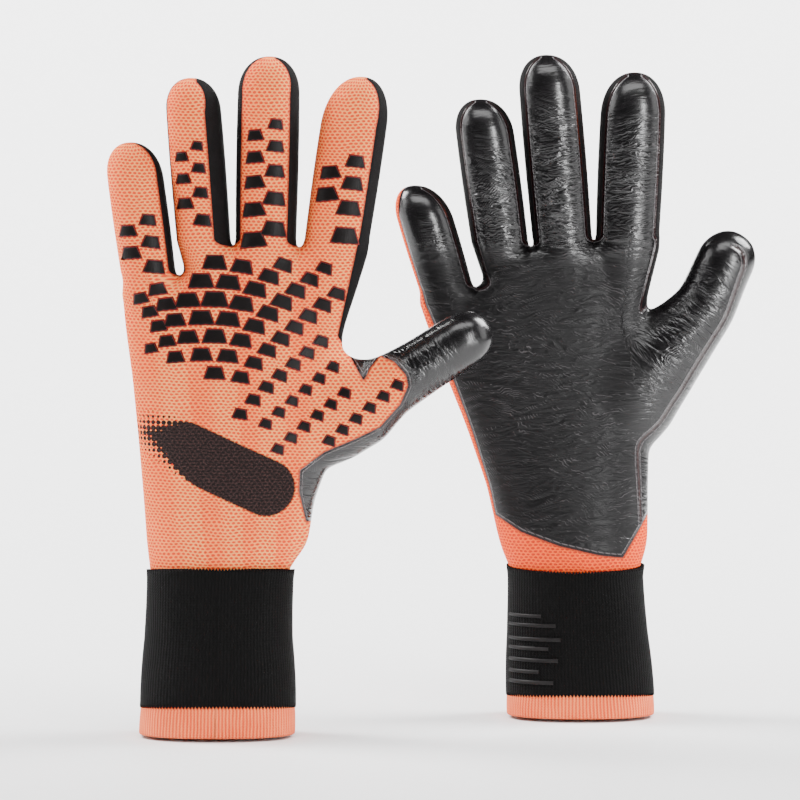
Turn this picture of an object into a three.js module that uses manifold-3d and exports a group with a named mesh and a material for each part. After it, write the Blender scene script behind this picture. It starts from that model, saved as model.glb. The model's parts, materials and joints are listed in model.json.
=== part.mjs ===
// A pair of strapless goalkeeper gloves that stand side by side on their cuff hems.
// Millimetres, +Z up. Each glove lies in its own X-Z plane: the fingers point up, the left
// glove's palm faces +Y, and the right glove's palm faces -Y. The gloves are hollow shells,
// cut into the panels that they are sewn from, and cut again at every knuckle that bends.

import * as THREE from 'three';
import { mergeVertices } from 'three/addons/utils/BufferGeometryUtils.js';
import Module from 'manifold-3d';

const wasm = await Module();
wasm.setup();

// ---------- driving dimensions ----------

const WALL = 2.4; // fabric or foam thickness
const SEAM = 0.3; // gap between panels that touch
const SIDES = 12; // sides of a finger's section
const HAND_SIDES = 20; // sides of the hand's and cuff's section
const ROUNDNESS = 2.4; // superellipse exponent of every section
const FAR = 400; // reach of a cutting block

const AXIS_DEPTH = 5.5; // knuckle axis, from the finger's centre plane towards the palm
const KNUCKLE_RISE = 3; // finger's base hinge above the fork between two fingers
const EXTEND = 8; // degrees a finger bends backwards
const FLEX_BASE = 70; // degrees a finger bends at its base
const FLEX_MID = 80; // degrees a finger bends at its middle
const FLEX_THUMB = 40;
const FLEX_THUMB_MID = 55;
const WRIST_SWING = 20; // degrees the hand tips either way on the cuff
const SPARE_ANGLE = 1; // clearance beyond each limit, in degrees

const FLARE = 2.6; // a finger tube widens by this much below its fork
const FLARE_LENGTH = 5;
const FINGER_ROOT = 165; // where the finger tubes start to taper, inside the palm
const FINGER_START = 160; // where they start
const ROOT_DEPTH = 13.8; // half depth of a finger at its root
const TIP_DEPTH = 11.2; // half depth of a finger at its tip
const DOME_LENGTH = 1.25; // length of a fingertip's dome, in half widths
const DOME_ANGLES = [0, 35, 65]; // degrees round the dome at which it has a section
const HOLLOW_START = 6; // how far the hand's hollow starts below its shell
const HOLLOW_SHIFT = 2; // how far its other sections lie below the shell's
const PALM_SEAM = 2; // depth of the seam between the back and the palm of the hand
const GUSSET = 3.6; // half width of the strip round the sides of a fingertip
const SIDE_GUSSET = 5; // half width of the strip below the index finger
const FILM_GAP = 0.4; // printed film above the knit
const FILM = 0.7; // printed film's thickness
const ARC_STEPS = 6; // straight lines along each round end of the film

const CORAL = 0xf2a07c;
const CORAL_HEM = 0xf0a880;
const BLACK_KNIT = 0x131212;
const BLACK_LATEX = 0x242325;
const BLACK_GUSSET = 0x2b292a;
const PRINT = 0x2a1918;
const KNIT_ROUGHNESS = 0.88;
const RIB_ROUGHNESS = 0.92;
const LATEX_ROUGHNESS = 0.42;
const GUSSET_ROUGHNESS = 0.7;
const PRINT_ROUGHNESS = 0.5;

// A hand section is [height, left edge, right edge, half depth]. A finger has its tip and the
// middle of its base as [x, height], its half width, the heights of the forks at its left and
// right, the height of its middle hinge, and how far its root narrows towards the thumb. x is
// measured from the cuff's middle.
const LEFT = {
  name: 'left',
  middle: -90.7, // cuff's middle, in X
  plane: -35, // centre plane, in Y
  palm: 1, // the palm faces +Y
  wrist: 66,
  hemTop: 13.5,
  heelTop: 84,
  cuff: [[0, -34.6, 32, 23.5], [13.5, -33.2, 31.4, 23], [40, -31, 30, 21.5], [70, -30.4, 30, 21.5]],
  hand: [
    [58, -30.4, 30, 21.5], [68, -30.4, 32, 21.3], [80, -30.4, 36.5, 19.8], [99, -31.7, 40.5, 18],
    [124, -34, 50, 16.5], [150, -36.5, 54, 15.4], [171, -39.3, 53.5, 14.6], [192, -42, 58, 14],
  ],
  fingers: [
    {
      name: 'index', tip: [59.5, 276.5], base: [49, 205],
      half: 14, forks: [207.5, 163], mid: 244, pinch: 4,
    },
    {
      name: 'middle', tip: [21.2, 285], base: [19.6, 206.5],
      half: 13, forks: [208, 207.5], mid: 246.5,
    },
    {
      name: 'ring', tip: [-11.6, 276], base: [-6.4, 206.5],
      half: 11.3, forks: [195, 208], mid: 243,
    },
    {
      name: 'little', tip: [-37, 249], base: [-30, 196],
      half: 11.5, forks: [165, 195], mid: 225,
    },
  ],
  thumb: {
    base: [69.5, 145],
    lean: 57.2, // degrees from vertical
    hinges: [4, 28],
    length: 52,
    sections: [[-34, -19, 17, 12.5], [-14, -19, 18.5, 13.5], [0, -13, 13.4, 13], [22, -12, 12, 12.3]],
    dome: [38, -11.6, 11.6, 11.2],
  },
  sideGusset: [45, 170],
  print: [[-25, 131], [22, 103]],
  printHalf: 13,
};

const RIGHT = {
  name: 'right',
  middle: 60.3,
  plane: 35,
  palm: -1,
  wrist: 61,
  hemTop: 10.5,
  heelTop: 80,
  cuff: [[0, -29.4, 35, 23.5], [10.5, -29, 34, 23], [35, -28, 31, 21.5], [65, -28, 29, 21.5]],
  hand: [
    [53, -28, 29, 21.5], [63, -29.6, 29.4, 21.3], [75, -32.3, 31.5, 19.8], [99, -37.6, 32, 18],
    [125, -46.6, 37, 16.5], [150, -56.5, 36, 15.4], [170, -64, 28.6, 14.6], [183, -69.2, 31, 14.2],
  ],
  fingers: [
    {
      name: 'index', tip: [25.6, 276.5], base: [22.6, 204],
      half: 14, forks: [206, 172], mid: 243, pinch: 7,
    },
    {
      name: 'middle', tip: [-12.2, 284], base: [-5.3, 204],
      half: 13, forks: [204, 206], mid: 245,
    },
    {
      name: 'ring', tip: [-40.6, 265], base: [-32, 202],
      half: 12.5, forks: [186, 204], mid: 236,
    },
    {
      name: 'little', tip: [-68.5, 228], base: [-56, 186],
      half: 12, forks: [165, 186], mid: 212,
    },
  ],
  thumb: {
    base: [39, 157],
    lean: 32.6,
    hinges: [10, 34],
    length: 59.5,
    sections: [[-34, -18, 18, 12.5], [-10, -17, 18, 13.5], [6, -13, 18, 13], [26, -8, 17.4, 12.3]],
    dome: [44, -10.6, 13.8, 11.2],
  },
  sideGusset: [22, 180],
  print: [[18, 131], [-20, 106]],
  printHalf: 12,
};

// ---------- solids ----------

const radians = THREE.MathUtils.degToRad;

function solid(geometry) {
  const bare = new THREE.BufferGeometry();
  bare.setAttribute('position', geometry.getAttribute('position'));
  if (geometry.index) bare.setIndex(geometry.index);
  const merged = mergeVertices(bare);
  return new wasm.Manifold(new wasm.Mesh({
    numProp: 3,
    vertProperties: new Float32Array(merged.getAttribute('position').array),
    triVerts: new Uint32Array(merged.index.array),
  }));
}

function union(solids) {
  return solids.reduce((all, next) => all.add(next));
}

// A closed body through superellipse sections [height, left, right, half depth]. Its ends are
// fans to one point each, so a peak gives the last fan the round end of a fingertip.
function loft(sections, sides, peak = sections.at(-1)[0]) {
  const points = [];
  const faces = [];
  const power = 2 / ROUNDNESS;
  for (const [height, left, right, depth] of sections) {
    for (let i = 0; i < sides; i++) {
      const turn = ((i + 0.5) / sides) * 2 * Math.PI;
      const across = Math.sign(Math.cos(turn)) * Math.abs(Math.cos(turn)) ** power;
      const deep = Math.sign(Math.sin(turn)) * Math.abs(Math.sin(turn)) ** power;
      points.push((left + right) / 2 + (across * (right - left)) / 2, deep * depth, height);
    }
  }
  const ring = (level, i) => level * sides + (i % sides);
  for (let level = 0; level + 1 < sections.length; level++) {
    for (let i = 0; i < sides; i++) {
      const [a, b] = [ring(level, i), ring(level, i + 1)];
      const [c, d] = [ring(level + 1, i), ring(level + 1, i + 1)];
      faces.push(a, b, d, a, d, c);
    }
  }
  const middle = ([, left, right]) => (left + right) / 2;
  const first = points.length / 3;
  points.push(middle(sections[0]), 0, sections[0][0], middle(sections.at(-1)), 0, peak);
  for (let i = 0; i < sides; i++) {
    faces.push(first, ring(0, i + 1), ring(0, i));
    faces.push(first + 1, ring(sections.length - 1, i), ring(sections.length - 1, i + 1));
  }
  const geometry = new THREE.BufferGeometry();
  geometry.setAttribute('position', new THREE.BufferAttribute(new Float32Array(points), 3));
  geometry.setIndex(faces);
  return solid(geometry);
}

// The same section with its edge moved inwards.
function shrink(inset) {
  return ([height, left, right, depth]) => [height, left + inset, right - inset, depth - inset];
}

// The sections of a dome that goes on from the given section up to the peak.
function dome([height, left, right, depth], peak) {
  const middle = (left + right) / 2;
  const half = (right - left) / 2;
  return DOME_ANGLES.map((angle) => {
    const size = Math.cos(radians(angle));
    const up = height + (peak - height) * Math.sin(radians(angle));
    return [up, middle - half * size, middle + half * size, depth * size];
  });
}

// A block that extrudes an outline of [depth, height] points along the whole width.
function block(outline) {
  const shape = new THREE.Shape(outline.map(([depth, height]) => new THREE.Vector2(depth, height)));
  const geometry = new THREE.ExtrudeGeometry(shape, { depth: 2 * FAR, bevelEnabled: false });
  geometry.translate(0, 0, -FAR);
  const [across, deep, up] = [0, 1, 2].map((i) => new THREE.Vector3().setComponent(i, 1));
  geometry.applyMatrix4(new THREE.Matrix4().makeBasis(deep, up, across));
  return solid(geometry);
}

// What lies between two depths and two heights.
function slab(lowDepth, highDepth, low = -FAR, high = FAR) {
  return block([[lowDepth, low], [highDepth, low], [highDepth, high], [lowDepth, high]]);
}

// The space on one side of a hinge, below it (way -1) or above it (way 1). The two sides lean
// apart by the angle that the hinge turns, so that they meet only at its limits.
function hingeSide(way, axisDepth, height, palm, flex, extend) {
  const edge = height + (way * SEAM) / 2;
  const towardsPalm = way * (FAR - palm * axisDepth) * Math.tan(radians(flex / 2 + SPARE_ANGLE));
  const towardsBack = way * (FAR + palm * axisDepth) * Math.tan(radians(extend / 2 + SPARE_ANGLE));
  return block([
    [-palm * FAR, edge + towardsBack],
    [axisDepth, edge],
    [palm * FAR, edge + towardsPalm],
    [palm * FAR, way * 2 * FAR],
    [-palm * FAR, way * 2 * FAR],
  ]);
}

// A flat outline of [x, height] points, extruded through the whole depth.
function punch(shape) {
  const geometry = new THREE.ExtrudeGeometry(shape, {
    depth: 2 * FAR, bevelEnabled: false, curveSegments: ARC_STEPS,
  });
  geometry.translate(0, 0, -FAR);
  geometry.rotateX(Math.PI / 2);
  return solid(geometry);
}

function rectangle(left, right, low, high) {
  const corners = [[left, low], [right, low], [right, high], [left, high]];
  return new THREE.Shape(corners.map(([x, z]) => new THREE.Vector2(x, z)));
}

// ---------- one glove ----------

function fingerSection(finger, height, inset) {
  const [tip, base] = [finger.tip, finger.base];
  const middle = base[0] + ((tip[0] - base[0]) * (height - base[1])) / (tip[1] - base[1]);
  const [left, right] = finger.forks.map((fork, side) => {
    const pinched = side === 1 && finger.pinch;
    const [change, span] = pinched ? [-finger.pinch, base[1] - fork] : [FLARE, FLARE_LENGTH];
    return finger.half + change * THREE.MathUtils.clamp((fork + span - height) / span, 0, 1);
  });
  const along = THREE.MathUtils.clamp((height - FINGER_ROOT) / (tip[1] - FINGER_ROOT), 0, 1);
  const depth = ROOT_DEPTH + (TIP_DEPTH - ROOT_DEPTH) * along;
  return shrink(inset)([height, middle - left, middle + right, depth]);
}

function fingerTube(finger, inset) {
  const start = finger.tip[1] - DOME_LENGTH * finger.half;
  const [low, high] = [...finger.forks].sort((a, b) => a - b);
  const heights = [FINGER_START, low, low + FLARE_LENGTH, high, high + FLARE_LENGTH, finger.mid]
    .filter((height, i, all) => i === 0 || height > all[i - 1]);
  const sections = heights.map((height) => fingerSection(finger, height, inset));
  const last = fingerSection(finger, start, inset);
  return loft([...sections, ...dome(last, finger.tip[1] - inset)], SIDES, finger.tip[1] - inset);
}

function thumbTube(thumb, inset) {
  const peak = thumb.length - inset;
  const sections = thumb.sections.map(shrink(inset));
  return loft([...sections, ...dome(shrink(inset)(thumb.dome), peak)], SIDES, peak);
}

function fingerHinges(finger) {
  return { base: Math.max(...finger.forks) + KNUCKLE_RISE, mid: finger.mid };
}

function makeGlove(glove) {
  const { palm, thumb } = glove;
  const axis = palm * AXIS_DEPTH;
  const parts = [];
  const add = (name, shape, colour, roughness) => parts.push({ name, shape, colour, roughness });
  const lean = (shape) => shape.rotate([0, thumb.lean, 0]).translate([thumb.base[0], 0, thumb.base[1]]);
  const side = (from, to) => slab(...[palm * from, palm * to].sort((a, b) => a - b));
  const back = (seam) => side(-FAR, seam - SEAM / 2);
  const front = (seam) => side(seam + SEAM / 2, FAR);

  // cuff: a ribbed hem and a long rib band, open at both ends
  const cuffHollow = glove.cuff.map(shrink(WALL));
  cuffHollow[0][0] -= WALL;
  cuffHollow.at(-1)[0] += WALL;
  const cuffShell = loft(glove.cuff, HAND_SIDES).subtract(loft(cuffHollow, HAND_SIDES));
  const belowWrist = hingeSide(-1, 0, glove.wrist, palm, WRIST_SWING, WRIST_SWING);
  const aboveWrist = hingeSide(1, 0, glove.wrist, palm, WRIST_SWING, WRIST_SWING);
  const below = (height) => slab(-FAR, FAR, -FAR, height - SEAM / 2);
  const above = (height) => slab(-FAR, FAR, height + SEAM / 2);
  const band = cuffShell.intersect(above(glove.hemTop)).intersect(belowWrist);
  add('cuff_hem', cuffShell.intersect(below(glove.hemTop)), CORAL_HEM, RIB_ROUGHNESS);
  add('cuff_band', band, BLACK_KNIT, RIB_ROUGHNESS);

  // hand: the palm with the roots of the fingers and of the thumb
  const hinges = glove.fingers.map(fingerHinges);
  const [thumbBase, thumbMid] = thumb.hinges;
  const thumbRoot = hingeSide(-1, axis, thumbBase, palm, FLEX_THUMB, EXTEND);
  const handBody = (inset) => union([
    loft(glove.hand.map(shrink(inset)), HAND_SIDES),
    lean(thumbTube(thumb, inset).intersect(thumbRoot)),
    ...glove.fingers.map((finger, i) => fingerTube(finger, inset)
      .intersect(hingeSide(-1, axis, hinges[i].base, palm, FLEX_BASE, EXTEND))),
  ]);
  const handHollow = glove.hand.map(shrink(WALL));
  handHollow.forEach((section, i) => { section[0] -= i ? HOLLOW_SHIFT : HOLLOW_START; });
  const hollow = union([
    loft(handHollow, HAND_SIDES),
    lean(thumbTube(thumb, WALL)),
    ...glove.fingers.map((finger) => fingerTube(finger, WALL)),
  ]);
  const handShell = handBody(0).subtract(hollow).intersect(aboveWrist);
  const [gussetLeft, gussetLow] = glove.sideGusset;
  const gussetBlock = (grow) => punch(rectangle(gussetLeft - grow, FAR, gussetLow - grow, FAR))
    .intersect(side(-SIDE_GUSSET - grow, SIDE_GUSSET + grow));
  const plain = handShell.subtract(gussetBlock(SEAM));
  const palmSide = plain.intersect(front(PALM_SEAM));
  add('backhand', plain.intersect(back(PALM_SEAM)), CORAL, KNIT_ROUGHNESS);
  add('palm', palmSide.intersect(above(glove.heelTop)), BLACK_LATEX, LATEX_ROUGHNESS);
  add('heel', palmSide.intersect(below(glove.heelTop)), CORAL, KNIT_ROUGHNESS);
  add('side_gusset', handShell.intersect(gussetBlock(0)), BLACK_GUSSET, GUSSET_ROUGHNESS);

  // printed band across the back of the hand, with round ends
  const [from, to] = glove.print.map(([x, z]) => new THREE.Vector2(x, z));
  const heading = Math.atan2(to.y - from.y, to.x - from.x);
  const outline = new THREE.Shape();
  const quarter = Math.PI / 2;
  outline.absarc(from.x, from.y, glove.printHalf, heading + quarter, heading + 3 * quarter, false);
  outline.absarc(to.x, to.y, glove.printHalf, heading - quarter, heading + quarter, false);
  const film = handBody(-FILM_GAP - FILM).subtract(handBody(-FILM_GAP)).subtract(handBody(0));
  const print = film.intersect(punch(outline)).intersect(side(-FAR, -FILM_GAP));
  add('print_panel', print, PRINT, PRINT_ROUGHNESS);

  // fingers: a base and a tip that bend at two hinges
  glove.fingers.forEach((finger, i) => {
    const shell = fingerTube(finger, 0).subtract(fingerTube(finger, WALL));
    const base = shell
      .intersect(hingeSide(1, axis, hinges[i].base, palm, FLEX_BASE, EXTEND))
      .intersect(hingeSide(-1, axis, finger.mid, palm, FLEX_MID, 0));
    const tip = shell.intersect(hingeSide(1, axis, finger.mid, palm, FLEX_MID, 0));
    const strip = tip.intersect(front(-GUSSET)).intersect(back(GUSSET));
    add(`${finger.name}_base_back`, base.intersect(back(0)), CORAL, KNIT_ROUGHNESS);
    add(`${finger.name}_base_palm`, base.intersect(front(0)), BLACK_LATEX, LATEX_ROUGHNESS);
    add(`${finger.name}_tip_back`, tip.intersect(back(-GUSSET)), CORAL, KNIT_ROUGHNESS);
    add(`${finger.name}_tip_gusset`, strip, BLACK_GUSSET, GUSSET_ROUGHNESS);
    add(`${finger.name}_tip_palm`, tip.intersect(front(GUSSET)), BLACK_LATEX, LATEX_ROUGHNESS);
  });

  // thumb: a latex sleeve with a knit patch on the back of its base
  const sleeve = thumbTube(thumb, 0).subtract(thumbTube(thumb, WALL));
  const thumbFirst = sleeve
    .intersect(hingeSide(1, axis, thumbBase, palm, FLEX_THUMB, EXTEND))
    .intersect(hingeSide(-1, axis, thumbMid, palm, FLEX_THUMB_MID, 0));
  const thumbLast = sleeve.intersect(hingeSide(1, axis, thumbMid, palm, FLEX_THUMB_MID, 0));
  add('thumb_patch', lean(thumbFirst.intersect(back(-GUSSET))), CORAL, KNIT_ROUGHNESS);
  add('thumb_base', lean(thumbFirst.intersect(front(-GUSSET))), BLACK_LATEX, LATEX_ROUGHNESS);
  add('thumb_tip', lean(thumbLast), BLACK_LATEX, LATEX_ROUGHNESS);

  const group = new THREE.Group();
  group.position.set(glove.middle, glove.plane, 0);
  for (const { name, shape, colour, roughness } of parts) {
    const { vertProperties, triVerts } = shape.getMesh();
    const geometry = new THREE.BufferGeometry();
    geometry.setAttribute('position', new THREE.BufferAttribute(vertProperties, 3));
    geometry.setIndex(new THREE.BufferAttribute(triVerts, 1));
    geometry.computeVertexNormals();
    const material = new THREE.MeshStandardMaterial({ color: colour, roughness, metalness: 0 });
    const mesh = new THREE.Mesh(geometry, material);
    mesh.name = `${glove.name}_${name}`;
    group.add(mesh);
  }
  return group;
}

const group = new THREE.Group();
group.name = 'goalkeeper_gloves';
group.add(makeGlove(LEFT), makeGlove(RIGHT));

export default group;
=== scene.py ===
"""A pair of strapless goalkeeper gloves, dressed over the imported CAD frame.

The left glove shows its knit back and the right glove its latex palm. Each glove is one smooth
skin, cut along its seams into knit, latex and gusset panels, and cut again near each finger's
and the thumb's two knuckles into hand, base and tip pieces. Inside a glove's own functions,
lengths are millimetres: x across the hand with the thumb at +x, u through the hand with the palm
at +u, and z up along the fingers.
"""

import json
import math

import bpy
import numpy as np
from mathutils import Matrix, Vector
from mathutils.kdtree import KDTree


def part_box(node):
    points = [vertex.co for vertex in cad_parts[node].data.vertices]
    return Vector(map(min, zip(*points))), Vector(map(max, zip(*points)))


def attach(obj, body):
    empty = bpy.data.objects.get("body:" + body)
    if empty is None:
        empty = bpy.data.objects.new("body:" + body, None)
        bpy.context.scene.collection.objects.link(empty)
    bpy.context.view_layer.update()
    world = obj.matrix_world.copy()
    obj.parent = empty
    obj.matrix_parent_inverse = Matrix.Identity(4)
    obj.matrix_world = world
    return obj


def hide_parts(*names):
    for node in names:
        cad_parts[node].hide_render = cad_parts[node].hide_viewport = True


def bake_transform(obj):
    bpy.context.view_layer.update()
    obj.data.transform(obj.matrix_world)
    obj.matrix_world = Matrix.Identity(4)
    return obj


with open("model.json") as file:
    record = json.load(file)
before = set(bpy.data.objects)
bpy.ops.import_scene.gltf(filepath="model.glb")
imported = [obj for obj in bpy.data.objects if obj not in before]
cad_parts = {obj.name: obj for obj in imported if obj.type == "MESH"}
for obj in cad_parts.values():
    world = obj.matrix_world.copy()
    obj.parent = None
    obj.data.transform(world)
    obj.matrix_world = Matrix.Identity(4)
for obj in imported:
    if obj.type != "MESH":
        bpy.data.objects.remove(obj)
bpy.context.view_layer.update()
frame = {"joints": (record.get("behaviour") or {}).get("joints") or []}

MM = 0.001
JOINTS = {joint["name"]: joint for joint in frame["joints"]}
random = np.random.default_rng(7)

# ---------- driving dimensions, in millimetres ----------

GRID = 1.0  # spacing of the grid that the skin is found on
ROUND = 2.2  # superellipse exponent of every section
FOLD_START = 1.0  # a finger starts to bend this far above its fork
KNUCKLE_SPAN = 19.0  # length over which a finger's base bends
TIP_SPAN = 12.0  # half the length over which a finger's middle bends
ROOT_TAPER = 0.2  # a finger's tube narrows by this much a millimetre below its fork
ROOT_LENGTH = 55.0  # a finger's tube goes on this far inside the hand
ROOT_END = 12.0  # and closes over this length
FINGER_DEPTH = 11.4  # a finger's half depth at its fork
TIP_LOSS = 1.0  # what that loses towards the fingertip
ROOT_HALF = 4  # half the width that a finger's tube keeps below its fork
ROOT_LOSS = 9.0  # and what it loses below the fork, for each finger's length
BELLY = 0.035  # a finger is this share wider half way along it
WEB_SLOPE = 0.8  # how steeply the hand ends at its web
WEB_BLEND = 5.0  # rounding between the hand and its web
FORK_BLEND = 3.6  # rounding between the fingers and the hand
THUMB_ROOT = 30  # the thumb's tube starts to close this far below its foot
THUMB_BLEND = 9.0  # rounding between the thumb and the hand
BACK_REACH = 40.0  # farther out than the back of any hand
THINNEST = 1.5  # a place this close to the outline counts as off the glove
HALVINGS = 22
GRID_LOW = (-82.0, -27.0)  # the surface grid's low corner, in x and u
GRID_HIGH = (130.0, 27.0, 291.0)
FAR = 30.0  # a distance that no material reacts to
FAINT = 0.35  # a sliver between two fabrics thinner than this is latex
UNDERLAP = 4.0  # the hand's knit goes on this far inside the cuff
STITCH_INSET = 1.3  # stitch line inside a panel's edge
RIM_SEAM_START = 84.0  # height at which the seam along the thumb's outer edge starts
RIM_SEAM_LEVEL = 9.0  # how far in front of the glove's middle plane that seam lies

# Each finger: its fork heights at the little-finger side and the thumb side, its half width, where
# its knit back ends at either side as shares of the half width, its dome's length, and how far
# below its tip its first grip pad lies. A hand or cuff section is [height, left, right, half depth].
# The web is the line (x, height) that the forks lie on. The thumb starts at its foot (x, height),
# and its sections are [distance along it, inner side, outer side, half depth]. The heel is the
# latex's lower edge, as x and height of its left end, its corner and its right end.
GLOVES = {
    "left": {
        "palm": 1,
        "fingers": {
            "index": {
                "forks": (207, 160), "half": 13.6, "knit": (-1.4, 0.68),
                "dome": 21, "first_pad": 35,
            },
            "middle": {
                "forks": (207.5, 207), "half": 12.7, "knit": (-0.84, 0.70),
                "dome": 16, "first_pad": 28,
            },
            "ring": {
                "forks": (194.5, 207.5), "half": 11.3, "knit": (-0.96, 0.42),
                "dome": 14, "first_pad": 28,
            },
            "little": {
                "forks": (150, 194.5), "half": 11.5, "knit": (-1.4, 0.78),
                "dome": 15, "first_pad": 32,
            },
        },
        "hand": [
            [58, -29, 28.4, 20.4], [67, -29, 28, 20], [72, -29.6, 30.8, 20],
            [80, -30.6, 37, 19.2], [99, -31.9, 40, 17.2],
            [112, -33, 45, 16.2], [124, -34, 48, 15.4], [150, -36.5, 52, 14], [171, -39.3, 51.5, 12.8],
            [192, -41.2, 57.4, 11.8], [212, -42, 60.6, 11],
        ],
        "web": [(-42, 190), (-18, 192), (4.6, 205), (33.5, 204.5), (46, 206), (70, 206)],
        "thumb_foot": (69.5, 145),
        "thumb_length": 52,
        "thumb": [[-40, -14, 10, 8], [-26, -17, 16, 11.5], [-12, -17, 17.5, 12.8],
                  [2, -12.6, 13, 12.4],
                  [20, -11.8, 12, 12], [40, -11.4, 11.8, 11]],
        "thumb_dome": 15,
        "heel": (-31.5, 86, 21, 69, 36.5, 89),
        "knit_edge": 34,
        "index_edge": (49.8, 168),
        "print": ((-30, 128), (20, 105)),
        "cuff": [[0, -34.6, 32, 23.5], [14, -33.2, 31.4, 23], [40, -31, 30, 21.6],
                 [66, -30.3, 30.6, 21.4], [73, -30.6, 31.8, 21.8]],
    },
    "right": {
        "palm": -1,
        "fingers": {
            "index": {
                "forks": (205.5, 170), "half": 13.6, "knit": (-1.4, 0.68),
                "dome": 19, "first_pad": 35,
            },
            "middle": {
                "forks": (203.5, 205.5), "half": 12.8, "knit": (-0.84, 0.70),
                "dome": 16, "first_pad": 28,
            },
            "ring": {
                "forks": (185.5, 203.5), "half": 12.2, "knit": (-0.96, 0.42),
                "dome": 15, "first_pad": 28,
            },
            "little": {
                "forks": (150, 185.5), "half": 11.8, "knit": (-1.4, 0.78),
                "dome": 15, "first_pad": 32,
            },
        },
        "hand": [
            [53, -26.8, 27.6, 20.4], [62, -27, 27.6, 20.2], [68, -30, 30, 20],
            [75, -32.4, 31.6, 19.2], [99, -37.8, 31.8, 17.2],
            [112, -42.3, 32, 16.2], [125, -46.8, 34, 15.4], [150, -56.8, 33, 14],
            [170, -64.2, 27.6, 12.8],
            [183, -68.6, 29, 11.8], [206, -72, 34.6, 11],
        ],
        "web": [(-70, 182), (-43.5, 183), (-19, 201), (8.3, 203), (20, 204.5), (50, 204.5)],
        "thumb_foot": (39, 157),
        "thumb_length": 59.5,
        "thumb": [[-40, -12, 12, 8], [-26, -15, 17, 11.5], [-10, -15, 18, 12.8],
                  [6, -11.6, 18, 12.4],
                  [26, -7.8, 17.6, 12], [46, -10.6, 13.6, 11]],
        "thumb_dome": 15,
        "heel": (-33.7, 86.4, 20.5, 68.8, 31.6, 87),
        "knit_edge": 21,
        "index_edge": (25.5, 177),
        "print": ((-34, 122), (8, 101)),
        "cuff": [[0, -29.4, 35, 23.5], [10.5, -29, 34, 23], [35, -28, 31, 21.6],
                 [60, -28.4, 29.3, 21.4], [66, -29.2, 30.2, 21.8]],
    },
}


# ---------- small numeric tools ----------

def smooth_min(a, b, soft):
    near = np.maximum(soft - np.abs(a - b), 0) / soft
    return np.minimum(a, b) - near * near * soft / 4


def ramp(value, low, high):
    """0 below low, 1 above high, and smooth between them."""
    t = np.clip((value - low) / (high - low), 0, 1)
    return t * t * (3 - 2 * t)


def rounded(sections, soft):
    """The sections as a dense table with their corners smoothed over that length."""
    table = np.array(sections, float)
    heights = np.arange(table[0, 0] - 40, table[-1, 0] + 40, 1.0)
    window = np.hanning(2 * int(soft) + 3)
    window /= window.sum()
    columns = [np.convolve(np.interp(heights, table[:, 0], column), window, "same")
               for column in table[:, 1:].T]
    return np.array([heights, *columns])[:, 12:-12]


def quarter_arcs():
    """Arc length round a quarter ellipse from its short end, for a range of flatness values."""
    turn = np.linspace(0, math.pi / 2, 46)
    flat = np.linspace(0.15, 1.25, 12)
    speed = np.sqrt(np.cos(turn) ** 2 + (flat[:, None] * np.sin(turn)) ** 2)
    steps = (speed[:, 1:] + speed[:, :-1]) / 2 * (turn[1] - turn[0])
    return flat, turn, np.concatenate([np.zeros((len(flat), 1)), np.cumsum(steps, 1)], 1)


FLATNESS, TURNS, ARCS = quarter_arcs()


def across(side, through, half, depth):
    """Distance along the cloth from the middle line of a section to a point on it."""
    turn = np.arctan2(np.abs(side) / half, np.abs(through) / depth + 1e-6) / TURNS[1]
    flat = np.clip((depth / half - FLATNESS[0]) / (FLATNESS[1] - FLATNESS[0]), 0, len(FLATNESS) - 1.001)
    i, j = flat.astype(int), np.clip(turn, 0, len(TURNS) - 1.001).astype(int)
    a, b = flat - i, np.clip(turn, 0, len(TURNS) - 1) - j
    low = ARCS[i, j] * (1 - b) + ARCS[i, j + 1] * b
    high = ARCS[i + 1, j] * (1 - b) + ARCS[i + 1, j + 1] * b
    return np.sign(side) * half * (low * (1 - a) + high * a)


# ---------- the skin of one glove ----------

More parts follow.
